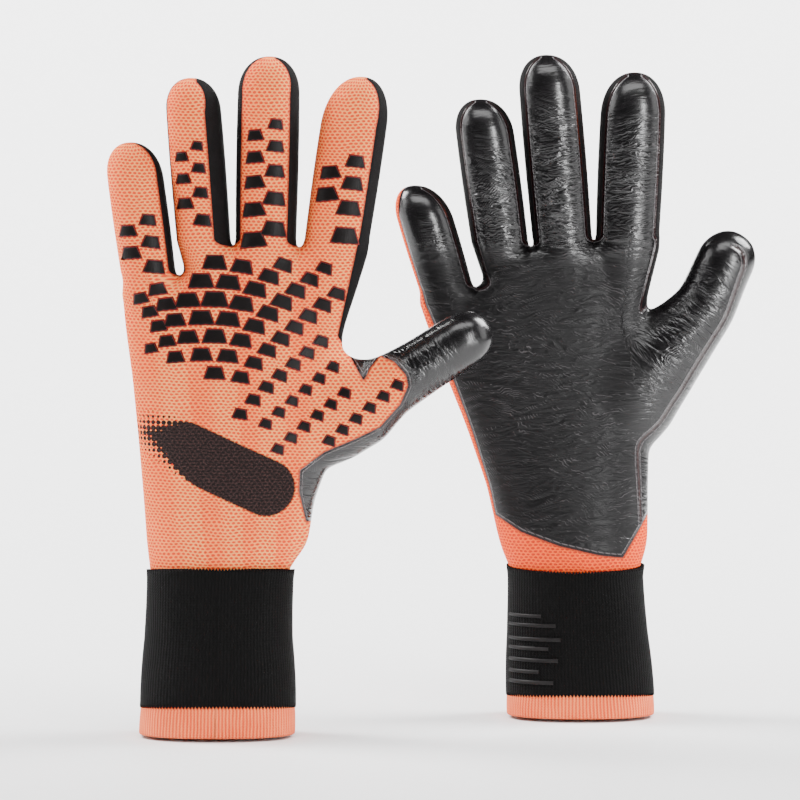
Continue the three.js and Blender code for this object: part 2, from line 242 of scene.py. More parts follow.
class Glove:
    def __init__(self, side):
        spec = GLOVES[side]
        self.side, self.spec, self.palm = side, spec, spec["palm"]
        wrist = JOINTS[f"{side}_wrist"]["pos_m"]
        self.middle, self.plane, self.wrist = (value / MM for value in wrist)
        self.fingers = []
        for name, shape in spec["fingers"].items():
            base = self.local(JOINTS[f"{side}_{name}_base_bend"]["pos_m"])
            bend = self.local(JOINTS[f"{side}_{name}_tip_bend"]["pos_m"])
            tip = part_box(f"{side}_{name}_tip_gusset")[1].z / MM
            fork = max(shape["forks"]) + FOLD_START
            self.fingers.append({
                **shape, "name": name, "x": base[0], "z": base[2], "tip": tip, "bend": bend[2],
                "lean": (bend[0] - base[0]) / (bend[2] - base[2]),
                "starts": (fork, min(fork + KNUCKLE_SPAN, bend[2] - TIP_SPAN)),
            })
        self.hand = rounded(spec["hand"], 7)
        self.thumb = rounded(spec["thumb"], 5)
        base = self.local(JOINTS[f"{side}_thumb_base_bend"]["pos_m"])
        bend = self.local(JOINTS[f"{side}_thumb_tip_bend"]["pos_m"])
        heading = np.array([bend[0] - base[0], bend[2] - base[2]])
        self.heading = heading / np.linalg.norm(heading)
        self.thumb_hinges = [
            float(self.along_thumb(*p)[0]) for p in ((base[0], base[2]), (bend[0], bend[2]))]
        first, second = self.thumb_hinges
        self.thumb_starts = (first - 1, min(first + 16, second - 9))

    def local(self, place):
        """A place in the frame, in metres, as x, u and z."""
        x, y, z = (value / MM for value in place)
        return np.array([x - self.middle, (y - self.plane) * self.palm, z])

    def world(self, points):
        """x, u and z as a place in the frame, in metres."""
        placed = np.array(points, float).reshape(-1, 3) * [1, self.palm, 1]
        placed = placed + [self.middle, self.plane, 0]
        return placed * MM

    def along_thumb(self, x, z):
        """Distance along the thumb from its foot, and across it, away from the fingers."""
        dx, dz = x - self.spec["thumb_foot"][0], z - self.spec["thumb_foot"][1]
        east, north = self.heading
        return dx * east + dz * north, dx * north - dz * east

    def finger_size(self, finger, z):
        """How far the finger's middle line has come in x, and its half width and half depth."""
        rise = np.clip((z - max(finger["forks"])) / (finger["tip"] - max(finger["forks"])), -3, 1)
        half = finger["half"] * (1 + BELLY * np.sin(np.pi * np.clip(rise, 0, 1)))
        half = half - np.clip(ROOT_TAPER * (max(finger["forks"]) - z), 0, finger["half"] - ROOT_HALF)
        loss = np.where(rise > 0, TIP_LOSS * rise, -ROOT_LOSS * np.maximum(rise, -0.6))
        depth = FINGER_DEPTH - loss
        return finger["x"] + finger["lean"] * (z - finger["z"]), half, depth

    def dome(self, finger, z):
        """0 up to the start of the fingertip's dome, and 1 at its top."""
        return np.clip((z - finger["tip"] + finger["dome"]) / finger["dome"], 0, None)

    def finger_field(self, finger, x, u, z):
        middle, half, depth = self.finger_size(finger, z)
        foot = np.clip((max(finger["forks"]) - ROOT_LENGTH - z) / ROOT_END, 0, None)
        size = (np.abs((x - middle) / half) ** ROUND + np.abs(u / depth) ** ROUND
                + self.dome(finger, z) ** ROUND + foot ** ROUND) ** (1 / ROUND)
        return (size - 1) * (half + depth) / 2

    def field(self, points):
        """Negative inside the glove, positive outside, and close to a distance near the skin."""
        x, u, z = points[:, 0], points[:, 1], points[:, 2]
        heights, left, right, depth = self.hand
        left, right, depth = (np.interp(z, heights, column) for column in (left, right, depth))
        half = (right - left) / 2
        share = np.abs((x - (left + right) / 2) / half)
        size = (share ** ROUND + np.abs(u / depth) ** ROUND) ** (1 / ROUND)
        web = np.array(self.spec["web"], float)
        over = (z - np.interp(x, web[:, 0], web[:, 1])) * WEB_SLOPE
        found = -smooth_min(-(size - 1) * depth, -over, WEB_BLEND)
        fingers = None
        for finger in self.fingers:
            this = self.finger_field(finger, x, u, z)
            fingers = this if fingers is None else np.minimum(fingers, this)
        found = smooth_min(found, fingers, FORK_BLEND)
        along, side = self.along_thumb(x, z)
        lengths, low, high, deep = self.thumb
        low, high, deep = (np.interp(along, lengths, column) for column in (low, high, deep))
        dome = self.spec["thumb_dome"]
        end = np.clip((along - self.spec["thumb_length"] + dome) / dome, 0, None)
        root = np.clip((-along - THUMB_ROOT) / ROOT_END, 0, None)
        share = np.abs((side - (low + high) / 2) / ((high - low) / 2))
        size = (share ** ROUND + np.abs(u / deep) ** ROUND + end ** ROUND + root ** ROUND) ** (1 / ROUND)
        return smooth_min(found, (size - 1) * 12, THUMB_BLEND)

    def slope(self, points, reach=0.2):
        """The field's gradient."""
        steps = np.eye(3) * reach
        return np.stack([
            (self.field(points + s) - self.field(points - s)) / (2 * reach) for s in steps], 1)

    def project(self, points, rounds=2):
        """Moves points onto the skin."""
        for _ in range(rounds):
            slope = self.slope(points)
            step = self.field(points) / np.maximum((slope ** 2).sum(1), 1e-6)
            points = points - slope * step[:, None]
        return points

    def rim_seam(self):
        """The seam in the latex up the heel of the hand and the thumb's outer edge."""
        tip = self.spec["thumb_foot"][1] + self.spec["thumb_length"] * self.heading[1]
        heights = np.arange(RIM_SEAM_START, tip, 0.3)
        out = np.arange(130.0, 10.0, -0.25)
        x, z = (grid.reshape(-1) for grid in np.meshgrid(out, heights))
        inside = self.field(np.stack([x, np.full(len(x), RIM_SEAM_LEVEL), z], 1)) < 0
        inside = inside.reshape(len(heights), -1)
        edge = out[inside.argmax(1)]
        found = inside.any(1) & (self.along_thumb(edge, heights)[1] > 0)
        level = np.full(len(edge), RIM_SEAM_LEVEL)
        return self.project(np.stack([edge, level, heights], 1)[found])

    def on_back(self, x, z):
        """The places on the back of the hand at x and z, found by halving; NaN in u off it."""
        high, low = np.zeros_like(x), np.full_like(x, -BACK_REACH)
        off = self.field(np.stack([x, high, z], 1)) > -THINNEST
        for _ in range(HALVINGS):
            middle = (low + high) / 2
            outside = self.field(np.stack([x, middle, z], 1)) > 0
            low, high = np.where(outside, middle, low), np.where(outside, high, middle)
        return np.stack([x, np.where(off, np.nan, high), z], 1)


def surface_nets(glove):
    """The glove's skin as points and quads, one point in each grid cell that it passes through."""
    low = np.array([*GRID_LOW, glove.wrist - UNDERLAP - 3])
    high = np.array(GRID_HIGH)
    axes = [np.arange(a, b, GRID) for a, b in zip(low, high)]
    grid = np.stack(np.meshgrid(*axes, indexing="ij"), -1)
    shape = grid.shape[:3]
    value = np.concatenate([glove.field(part) for part in np.array_split(grid.reshape(-1, 3), 12)])
    value = value.reshape(shape)
    total = np.zeros([n - 1 for n in shape] + [3])
    count = np.zeros([n - 1 for n in shape])
    edges = []
    for axis in range(3):
        a = np.take(value, range(shape[axis] - 1), axis)
        b = np.take(value, range(1, shape[axis]), axis)
        crossed = (a < 0) != (b < 0)
        share = np.where(crossed, a / np.where(crossed, a - b, 1), 0)
        place = np.stack(np.indices(a.shape), -1).astype(float)
        place[..., axis] += share
        place *= crossed[..., None]
        others = [i for i in range(3) if i != axis]
        for first in (0, 1):
            for second in (0, 1):
                cut = [slice(None)] * 3
                cut[others[0]] = slice(first, a.shape[others[0]] - 1 + first)
                cut[others[1]] = slice(second, a.shape[others[1]] - 1 + second)
                total += place[tuple(cut)]
                count += crossed[tuple(cut)]
        edges.append((axis, others, crossed, a < 0))
    used = count > 0
    number = np.cumsum(used).reshape(used.shape) - 1
    points = total[used] / count[used][:, None] * GRID + low
    quads = []
    for axis, others, crossed, inside in edges:
        spots = np.argwhere(crossed)
        fit = np.all([(spots[:, o] > 0) & (spots[:, o] < used.shape[o]) for o in others], 0)
        spots = spots[fit]
        corners = []
        for first, second in ((1, 1), (0, 1), (0, 0), (1, 0)):
            cell = spots.copy()
            cell[:, others[0]] -= first
            cell[:, others[1]] -= second
            corners.append(number[tuple(cell.T)])
        quad = np.stack(corners, 1)
        turn = inside[tuple(spots.T)] != (axis == 1)
        quad[turn] = quad[turn][:, ::-1]
        quads.append(quad)
    return points, np.concatenate(quads)


def relaxed(glove, points, quads, rounds=3):
    """Evens out the quads by averaging each point with its neighbours, and keeps to the skin."""
    pairs = np.concatenate([quads[:, [i, (i + 1) % 4]] for i in range(4)])
    for _ in range(rounds):
        total, count = np.zeros_like(points), np.zeros(len(points))
        for a, b in ((0, 1), (1, 0)):
            np.add.at(total, pairs[:, a], points[pairs[:, b]])
            np.add.at(count, pairs[:, a], 1)
        points = glove.project(0.4 * points + 0.6 * total / count[:, None], 1)
    return glove.project(points, 1)


class Skin:
    """Triangles with any number of values at each point, which can be cut along a value's zero."""

    def __init__(self, points, triangles, values):
        self.points, self.triangles, self.values = points, triangles, values

    def cut(self, name, snap=0.06):
        """Splits the triangles so that none crosses the line where that value is zero."""
        value = np.where(np.abs(self.values[name]) < snap, 0, self.values[name])
        self.values[name] = value
        sign = np.sign(value)[self.triangles]
        crossed = (sign.max(1) > 0) & (sign.min(1) < 0)
        whole, split, sign = self.triangles[~crossed], self.triangles[crossed], sign[crossed]
        through = (sign == 0).any(1)
        lone = np.where(through, (sign == 0).argmax(1), 0)
        odd = sign * sign.sum(1)[:, None] < 0
        lone = np.where(through, lone, odd.argmax(1))
        order = (lone[:, None] + np.arange(3)) % 3
        split = np.take_along_axis(split, order, 1)
        a, b, c = split[:, 0], split[:, 1], split[:, 2]
        pairs = np.concatenate([np.stack([b, c], 1)[through], np.stack([a, b], 1)[~through],
                                np.stack([a, c], 1)[~through]])
        pairs.sort(1)
        unique, place = np.unique(pairs, axis=0, return_inverse=True)
        place = place.reshape(-1) + len(self.points)
        one, two = unique[:, 0], unique[:, 1]
        share = value[one] / (value[one] - value[two])
        self.points = np.concatenate([self.points, self.mix(self.points, one, two, share)])
        for key, old in self.values.items():
            self.values[key] = np.concatenate([old, self.mix(old, one, two, share)])
        self.values[name][len(self.points) - len(unique):] = 0
        n, m = through.sum(), (~through).sum()
        middle, ab, ac = place[:n], place[n:n + m], place[n + m:]
        a0, b0, c0 = a[through], b[through], c[through]
        a1, b1, c1 = a[~through], b[~through], c[~through]
        self.triangles = np.concatenate([
            whole, np.stack([a0, b0, middle], 1), np.stack([a0, middle, c0], 1),
            np.stack([a1, ab, ac], 1), np.stack([ab, b1, c1], 1), np.stack([ab, c1, ac], 1)])

    @staticmethod
    def mix(old, one, two, share):
        share = share if old.ndim == 1 else share[:, None]
        return old[one] * (1 - share) + old[two] * share

    def below(self, name):
        """Which triangles lie where that value is negative."""
        return self.values[name][self.triangles].sum(1) < 0


# ---------- where each fabric lies ----------

# The coral lobe's edge on the thumb's foot: distance along the thumb, and across it from its middle.
LOBE = [(-4.9, -8.5), (-0.2, -11.4), (6.2, -13.4), (10.1, -8.3), (11.3, -1.1), (9.6, 3.2), (2.5, 8.1),
        (-9.8, 11.5), (-21.3, 10.1), (-34.8, 7.7)]
HEEL_CURVE = [(0, 1), (0.2, 0.62), (0.5, 0.30), (0.82, 0.07), (1, 0)]
LATEX_SHARE = 0.84  # the latex covers this share of a finger's half width
WRAP = 5.5  # the knit goes this far past the side on the little finger's edge
PRINT_RADIUS = 12.0


def polygon_distance(x, z, corners):
    """Distance to a closed outline, positive inside it."""
    corners = np.array(corners, float)
    inside, nearest = np.zeros(len(x), bool), np.full(len(x), 1e9)
    for (ax, az), (bx, bz) in zip(corners, np.roll(corners, -1, 0)):
        dx, dz = bx - ax, bz - az
        t = np.clip(((x - ax) * dx + (z - az) * dz) / (dx * dx + dz * dz + 1e-9), 0, 1)
        nearest = np.minimum(nearest, np.hypot(x - ax - t * dx, z - az - t * dz))
        crosses = (az > z) != (bz > z)
        inside ^= crosses & (x < ax + (z - az) * dx / (dz if dz else 1e-9))
    return np.where(inside, nearest, -nearest)


class Panels:
    """Fields over the skin that say which fabric and which moving part each place belongs to."""

    def __init__(self, glove, points):
        self.glove, self.spec = glove, glove.spec
        self.x, self.u, self.z = points.T
        x, u, z = self.x, self.u, self.z
        sides, halves, depths, middles = [], [], [], []
        for finger in glove.fingers:
            middle, half, depth = glove.finger_size(finger, z)
            sides.append(x - middle)
            middles.append(middle)
            halves.append(half)
            depths.append(depth)
        shares = np.abs(np.array(sides)) / np.array(halves)
        self.nearest = shares.argmin(0)
        pick = (self.nearest, np.arange(len(x)))
        self.side, self.half = np.array(sides)[pick], np.array(halves)[pick]
        self.depth, self.middle = np.array(depths)[pick], np.array(middles)[pick]
        self.outer = np.where(z > 150, middles[-1] - halves[-1],
                              np.interp(z, glove.hand[0], glove.hand[1]))
        self.along, self.across = glove.along_thumb(x, z)
        low, high = (np.interp(self.along, glove.thumb[0], glove.thumb[i]) for i in (1, 2))
        reach = np.abs(self.across - (low + high) / 2) / ((high - low) / 2)
        right = np.interp(z, glove.hand[0], glove.hand[2])
        self.on_thumb = (reach < 1.5) & (x > right - 1.0) & (self.along > -12) & (z < 215) & (
            self.along - glove.thumb_hinges[0] > (z - 205) * 2)
        for number, finger in enumerate(glove.fingers):
            away = np.abs(sides[number]) < halves[number] * 1.12
            self.on_thumb &= ~(away & (z > min(finger["forks"]) + 14))

    def moving_parts(self):
        """Distances past the first cut and past the second cut, towards a finger's end."""
        glove = self.glove
        first = np.array([finger["starts"][0] for finger in glove.fingers])[self.nearest]
        second = np.array([finger["bend"] - TIP_SPAN for finger in glove.fingers])[self.nearest]
        return (np.where(self.on_thumb, self.along - glove.thumb_starts[0], self.z - first),
                np.where(self.on_thumb, self.along - glove.thumb_starts[1], self.z - second))

    def thumb_edge(self):
        """Distance past the knit's edge towards the thumb, on the back of the hand."""
        glove, spec = self.glove, self.spec
        index = glove.fingers[0]
        start_x, start_z = spec["index_edge"]
        top = max(index["forks"]) + 4
        middle, half, _ = glove.finger_size(index, np.array([top]))
        foot, (east, north) = spec["thumb_foot"], glove.heading
        lobe = [(foot[0] + a * east + s * north, foot[1] + a * north - s * east) for a, s in LOBE]
        edge = spec["knit_edge"]
        line = [(float(middle[0] + index["knit"][1] * half[0]), top), (start_x, start_z), *lobe,
                (edge, 112), (edge - 0.4, 103), (edge + 2.5, 90), (140, 90), (140, top)]
        return polygon_distance(self.x, self.z, line)

    def fabrics(self):
        """Two fields: negative where the cloth is knit, and negative where it is latex."""
        x, u, z, spec = self.x, self.u, self.z, self.spec
        knit, latex = np.full(len(x), -50.0), np.full(len(x), -50.0)
        for number, finger in enumerate(self.glove.fingers):
            mine = self.nearest == number
            side, half, height = self.side[mine], self.half[mine], z[mine]
            forks = finger["forks"]
            fork = np.where(side > 0, forks[0] if finger["name"] == "index" else forks[1],
                            forks[1] if finger["name"] == "little" else forks[0])
            opened = 1 - ramp(height, fork - 5, fork + 1.5)
            dome = np.clip(self.glove.dome(finger, height), 0, 0.98)
            narrow = half * (1 - dome ** ROUND) ** (1 / ROUND)
            low, high = finger["knit"]
            spread = narrow - (1 - high) * half * (1 - 0.5 * dome)
            back = side - np.maximum(spread, 0.2 * half)
            if low > -1:
                spread = narrow - (1 + low) * half * (1 - 0.5 * dome)
                back = np.maximum(back, -side - np.maximum(spread, 0.2 * half))
            edge = np.maximum(narrow - (1 - LATEX_SHARE) * half, 0.3 * half)
            front = np.abs(side) - edge
            if finger["name"] == "little":
                front = side - edge
            knit[mine] = back * (1 - opened) - 6 * opened
            latex[mine] = front * (1 - opened) - 6 * opened
        off = self.on_thumb | (z < 140)
        knit[off], latex[off] = -50.0, -50.0
        wrap = WRAP * (1 - ramp(x, self.outer + 2, self.outer + 9)) * (z < self.glove.fingers[-1]["tip"])
        gusset = 5.4 * ramp(x - self.middle, -2, 5) * (self.nearest == 0) * ramp(z, 156, 170) * (
            1 - ramp(z, 210, 216))
        gusset = np.where(self.on_thumb, 0, gusset)
        past = self.thumb_edge()
        x1, z1, x2, z2, x3, z3 = spec["heel"]
        curve = np.array(HEEL_CURVE)
        heel = z2 + (z1 - z2) * np.interp((x - x1) / (x2 - x1), curve[:, 0], curve[:, 1])
        heel = (z - heel - (z3 - z2) / (x3 - x2) * np.clip(x - x2, 0, x3 - x2)) * 0.75
        is_knit = np.minimum(np.maximum(np.maximum(knit, past), u - wrap), heel)
        front = np.maximum(np.maximum(latex, wrap + gusset - u), -heel)
        back = np.maximum(-past, np.where(self.on_thumb, -5.0, z - (self.spec["thumb_foot"][1] + 6)))
        return is_knit, np.minimum(front, np.maximum(back, -heel))

    def cloth(self):
        """Place in the cloth: across the weave, and along it."""
        glove, x, u, z = self.glove, self.x, self.u, self.z
        heights, left, right, depth = glove.hand
        left, right, depth = (np.interp(z, heights, column) for column in (left, right, depth))
        centre = (left + right) / 2
        a = across(x - centre, u, (right - left) / 2, depth) + centre
        flat = ramp(x, centre, centre + (right - left) / 4) * ramp(-u, -2, 2)
        a = a * (1 - flat) + x * flat
        fork = np.array([max(f["forks"]) for f in glove.fingers])[self.nearest]
        outside = np.where(self.nearest == 0, self.side > 0, (self.nearest == 3) & (self.side < 0))
        share = ramp(z, fork - np.where(outside, 45, 9), fork + 5)
        a = a * (1 - share) + (across(self.side, u, self.half, self.depth) + self.middle) * share
        share = np.where(self.on_thumb | (self.along > -30) & (x > right - 8) & (z < 190),
                         ramp(self.along, -22, -2) * ramp(self.across, -30, -12), 0)
        share = share * np.maximum(ramp(self.thumb_edge(), 0.5, 4), ramp(u, 2, 7))
        along = z * (1 - share) + (self.along + glove.spec["thumb_foot"][1]) * share
        return a * (1 - share) + (across(self.across, u, 13.0, 12.0) + 55) * share, along


def capsule(x, z, ends, radius):
    """Distance outside a round-ended band."""
    (ax, az), (bx, bz) = ends
    dx, dz = bx - ax, bz - az
    t = np.clip(((x - ax) * dx + (z - az) * dz) / (dx * dx + dz * dz), 0, 1)
    return np.hypot(x - ax - t * dx, z - az - t * dz) - radius


# ---------- meshes ----------

def mesh_object(name, glove, points, faces, materials=(), face_material=None, normals=None, values=None):
    """A mesh object in the frame, from places in the glove's own lengths."""
    faces = np.asarray(faces)
    if glove.palm > 0:
        faces = faces[:, ::-1]
    mesh = bpy.data.meshes.new(name)
    mesh.from_pydata(glove.world(points).tolist(), [], faces.tolist())
    for material in materials:
        mesh.materials.append(material)
    if face_material is not None:
        mesh.polygons.foreach_set("material_index", np.asarray(face_material, np.int32))
    for key, value in (values or {}).items():
        layer = mesh.attributes.new(key, "FLOAT_VECTOR", "POINT")
        layer.data.foreach_set("vector", np.asarray(value, np.float32).reshape(-1))
    mesh.polygons.foreach_set("use_smooth", np.ones(len(mesh.polygons), bool))
    mesh.update()
    if normals is not None:
        mesh.normals_split_custom_set_from_vertices((np.asarray(normals) * [1, glove.palm, 1]).tolist())
    made = bpy.data.objects.new(name, mesh)
    bpy.context.collection.objects.link(made)
    return made


def unit(vectors):
    return vectors / np.maximum(np.linalg.norm(vectors, axis=1), 1e-9)[:, None]


def seam_distance(points, seam_points):
    """Each point's distance to the nearest of the seams' points."""
    tree = KDTree(len(seam_points))
    for i, place in enumerate(seam_points):
        tree.insert(place, i)
    tree.balance()
    return np.array([tree.find(place)[2] for place in points])


FABRICS = ("knit", "latex", "gusset")
SEGMENTS = ("hand", "base", "tip")


def hand_blend(piece):
    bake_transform(piece)


def digit_blend(piece):
    """Bakes a finger's or the thumb's base or tip piece into place; it is not bent over its hinge."""
    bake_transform(piece)


def bend(piece, glove, digit, segment):
    if segment == "hand":
        hand_blend(piece)
    else:
        digit_blend(piece)


REPLACED = {
    ("hand", "knit"): ("backhand", "heel", "print_panel"), ("hand", "latex"): ("palm",),
    ("hand", "gusset"): ("side_gusset",),
    ("base", "knit"): ("base_back",), ("base", "latex"): ("base_palm",),
    ("tip", "knit"): ("tip_back",), ("tip", "latex"): ("tip_palm",), ("tip", "gusset"): ("tip_gusset",),
}
THUMB_REPLACED = {("base", "knit"): ("thumb_patch",), ("base", "latex"): ("thumb_base",),
                  ("tip", "latex"): ("thumb_tip",)}


def dress_hand(glove, materials):
    """The glove's skin above the cuff, cut into its panels."""
    points, quads = surface_nets(glove)
    points = relaxed(glove, points, quads)
    triangles = np.concatenate([quads[:, [0, 1, 2]], quads[:, [0, 2, 3]]])
    panels = Panels(glove, points)
    knit, latex = panels.fabrics()
    first, second = panels.moving_parts()
    x, u, z = points.T
    skin = Skin(points, triangles, {
        "knit": knit, "latex": latex, "first": first, "second": second,
        "rim": z - (glove.wrist - UNDERLAP), "normal": unit(glove.slope(points, 0.5)),
        "nearest": np.where(panels.on_thumb, 9.0, panels.nearest),
        "cloth": np.stack([*panels.cloth(), u], 1),
        "print": np.where(u < 2, capsule(x, z, glove.spec["print"], PRINT_RADIUS), FAR),
        # painted shade: this share across each finger's back, and -2 on the palm side, makes the knit
        # deeper orange on the side away from the light and on the palm side
        "shaded_side": np.where(u > 1, -2.0, np.clip(panels.side / panels.half, -1.2, 1.2)),
        "smooth": np.where(panels.on_thumb, (glove.spec["thumb_length"] - panels.along),
                           np.array([f["tip"] for f in glove.fingers])[panels.nearest] - z),
    })
    for name in ("rim", "knit", "latex", "first", "second"):
        skin.cut(name)
    skin.triangles = skin.triangles[~skin.below("rim")]
    is_knit, is_latex = skin.below("knit"), skin.below("latex")
    nearness = np.maximum(np.abs(skin.values["knit"]), np.abs(skin.values["latex"]))
    faint = nearness[skin.triangles].mean(1) < FAINT
    fabric = np.where(is_knit, 0, np.where(is_latex | faint, 1, 2))
    segment = np.where(skin.below("first"), 0, np.where(skin.below("second"), 1, 2))
    digit = np.round(skin.values["nearest"][skin.triangles].min(1)).astype(int)
    digit = np.where(skin.values["nearest"][skin.triangles].mean(1) > 6, 9, np.minimum(digit, 3))
    of_fabric = np.zeros((len(skin.points), 3), bool)
    for number in range(3):
        of_fabric[skin.triangles[fabric == number].reshape(-1), number] = True
    seams = np.concatenate([skin.points[of_fabric.sum(1) > 1], glove.rim_seam()])
    away = seam_distance(skin.points, seams)
    smooth, shaded_side = skin.values["smooth"], skin.values["shaded_side"]
    values = {"cloth": skin.values["cloth"], "seam_shade_print": np.stack([away, shaded_side, skin.values["print"]], 1),
              "place": np.stack([smooth, skin.points[:, 0], skin.points[:, 2]], 1)}
    names = [finger["name"] for finger in glove.fingers]
    for segment_number, segment_name in enumerate(SEGMENTS):
        for digit_name in (["hand"] if segment_name == "hand" else [*names, "thumb"]):
            for fabric_number, fabric_name in enumerate(FABRICS):
                mine = (segment == segment_number) & (fabric == fabric_number)
                if segment_name != "hand":
                    mine &= digit == (9 if digit_name == "thumb" else names.index(digit_name))
                if mine.sum() < 12:
                    continue
                used, faces = np.unique(skin.triangles[mine], return_inverse=True)
                label = f"{glove.side}_{digit_name}"
                if segment_name != "hand":
                    label += f"_{segment_name}"
                piece = mesh_object(
                    f"{label}_{fabric_name}", glove, skin.points[used], faces.reshape(-1, 3),
                    [materials[fabric_name]], normals=unit(skin.values["normal"][used]),
                    values={key: value[used] for key, value in values.items()})
                bend(piece, glove, digit_name, segment_name)
                if digit_name == "thumb":
                    nodes = THUMB_REPLACED.get((segment_name, fabric_name), ())
                else:
                    nodes = REPLACED.get((segment_name, fabric_name), ())
                prefix = f"{glove.side}_" + ("" if digit_name in ("hand", "thumb") else f"{digit_name}_")
                if nodes:
                    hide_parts(*(prefix + node for node in nodes))


# ---------- cuffs ----------

TOOTH = 1.4  # width of one tooth of the rib's zigzag edge
CUFF_WALL = 2.0
CUFF_ROUND = 2.35  # superellipse exponent of the cuff
TOOTH_HEIGHT = 0.65


def cuff_section(glove, z, share, inset=0.0):
    """Places round the cuff: share goes once round it from the middle of the back."""
    table = np.array(glove.spec["cuff"], float)
    left, right, depth = (np.interp(z, table[:, 0], column) for column in table[:, 1:].T)
    turn = share * 2 * math.pi
    sine, cosine = np.sin(turn), np.cos(turn)
    power = 2 / CUFF_ROUND
    half = (right - left) / 2 - inset
    x = (left + right) / 2 + half * np.sign(sine) * np.abs(sine) ** power
    u = -(depth - inset) * np.sign(cosine) * np.abs(cosine) ** power
    return np.stack([x, u, z], -1)


def dress_cuff(glove, materials):
    """The rib cuff and its hem, each one closed tube with a thick wall."""
    ring = cuff_section(glove, np.full(2001, 30.0), np.linspace(0, 1, 2001))
    length = np.concatenate([[0], np.cumsum(np.linalg.norm(np.diff(ring, axis=0), axis=1))])
    columns = 2 * int(length[-1] / TOOTH)
    even = np.interp(np.arange(columns) * length[-1] / columns, length, np.linspace(0, 1, 2001))
    around = np.arange(columns) * length[-1] / columns
    tooth = np.where(np.arange(columns) % 2 == 0, TOOTH_HEIGHT, -TOOTH_HEIGHT)
    bow = np.cos(even * 2 * math.pi)
    hem_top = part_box(f"{glove.side}_cuff_hem")[1].z / MM
    lower = hem_top + (1.4 if glove.side == "left" else -1.2) * bow
    upper = glove.wrist + 2.6 + (2.4 if glove.side == "left" else 0.8) * bow + tooth
    for name, low, high, bulge, fabric, rows in (
            ("hem", np.full(columns, 0.05), lower - 0.3 - tooth * 0.2, -0.2, "hem", 18),
            ("band", lower - 1.6 + tooth, upper, 0.45, "rib", 56)):
        layers = []
        steps = np.linspace(0, 1, rows)
        outer = [(share, bulge + 0.35 * math.sin(math.pi * share) ** 0.5) for share in steps]
        inner = [(share, bulge - CUFF_WALL) for share in steps[::-4]]
        edge = 0.55
        profile = [(0.0, outer[0][1] - edge), *outer, (1.0, outer[-1][1] - edge), *inner]
        for share, proud in profile:
            z = low + (high - low) * share
            wave = 0.3 * np.sin(z / 9.0 + 2.1 * np.sin(even * 9.0) + glove.middle)
            layers.append(cuff_section(glove, z, even, -(proud + wave)))
        points = np.concatenate(layers)
        count = len(profile)
        i, j = np.meshgrid(np.arange(count), np.arange(columns), indexing="ij")
        k, m = (i + 1) % count, (j + 1) % columns
        corners = [i * columns + j, k * columns + j, k * columns + m, i * columns + m]
        faces = np.stack(corners, -1).reshape(-1, 4)
        z = points[:, 2]
        cloth = np.stack([np.tile(around, count), z, points[:, 1]], 1)
        low_all, high_all = np.tile(low, count), np.tile(high, count)
        from_edge = np.minimum(z - low_all, high_all - z)
        seam_shade_print = np.stack([from_edge, points[:, 0] / 32, np.full(len(z), FAR)], 1)
        place = np.stack([np.full(len(z), FAR), points[:, 0], z], 1)
        piece = mesh_object(f"{glove.side}_cuff_{name}", glove, points, faces, [materials[fabric]],
                            values={"cloth": cloth, "seam_shade_print": seam_shade_print, "place": place})
        if name == "hem":
            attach(piece, f"{glove.side}_cuff")
        else:
            hand_blend(piece)
        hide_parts(f"{glove.side}_cuff_{name}")


BAR_HEIGHTS = (44, 40, 34, 30, 25, 20, 15.5)
BAR_LENGTHS = (13, 19, 21, 16, 20, 12, 18)


def dress_bars(glove, material):
    """Seven plain raised bars printed on the palm side of the right cuff."""
    points, faces = [], []
    for height, length in zip(BAR_HEIGHTS, BAR_LENGTHS):
        steps = int(length / 0.8)
        start = -27.0
        for rise, proud in ((-0.85, 0.55), (-0.55, 1.15), (0.55, 1.15), (0.85, 0.55)):
            for step in range(steps + 1):
                x = start + length * step / steps
                share = np.interp(-x, *side_table(glove, height))
                level = np.array([height + rise])
                points.append(cuff_section(glove, level, np.array([share]), -proud - 0.2)[0])
        first = len(points) - 4 * (steps + 1)
        for row in range(3):
            for step in range(steps):
                a = first + row * (steps + 1) + step
                faces.append((a, a + 1, a + steps + 2, a + steps + 1))
    piece = mesh_object("right_cuff_bars", glove, np.array(points), np.array(faces), [material],
                        values={"cloth": np.array(points), "seam_shade_print": np.full((len(points), 3), 9.0)})
    hand_blend(piece)


def side_table(glove, height):
    """For the palm's little-finger side: distances in x, and the shares round the cuff there."""
    shares = np.linspace(0.5, 0.75, 60)
    ring = cuff_section(glove, np.full(60, float(height)), shares)
    return -ring[:, 0], shares


# ---------- grip pads ----------

PAD_RISE = 0.62
FILM_RISE = 0.14
FILM_MARGIN = 0.62
HAND_COLUMN = 11.2
HAND_ROW = 7.7
LOWEST_PADS = ((-40, 168), (-13, 156), (3, 149), (9, 132), (25, 119), (40, 110))  # x, z
PRINT_GAP = 4.0  # between the middle of a pad and the print
PAD_STAGGER = 4.6  # a finger's second column of pads starts this much lower
FIRST_STEP = 9.2  # between a column's first two pads
STEP_GROWTH = 1.15
WIDEST_STEP = 13.5
FIELD_BEND = 0.019  # how fast the field's rows turn down towards the thumb
STEEPEST = 0.54
LITTLE_BEND = 0.011  # and towards the little finger
EDGE_GAP = 1.6  # between a pad and the glove's outline
CROTCH_GAP = 6.0


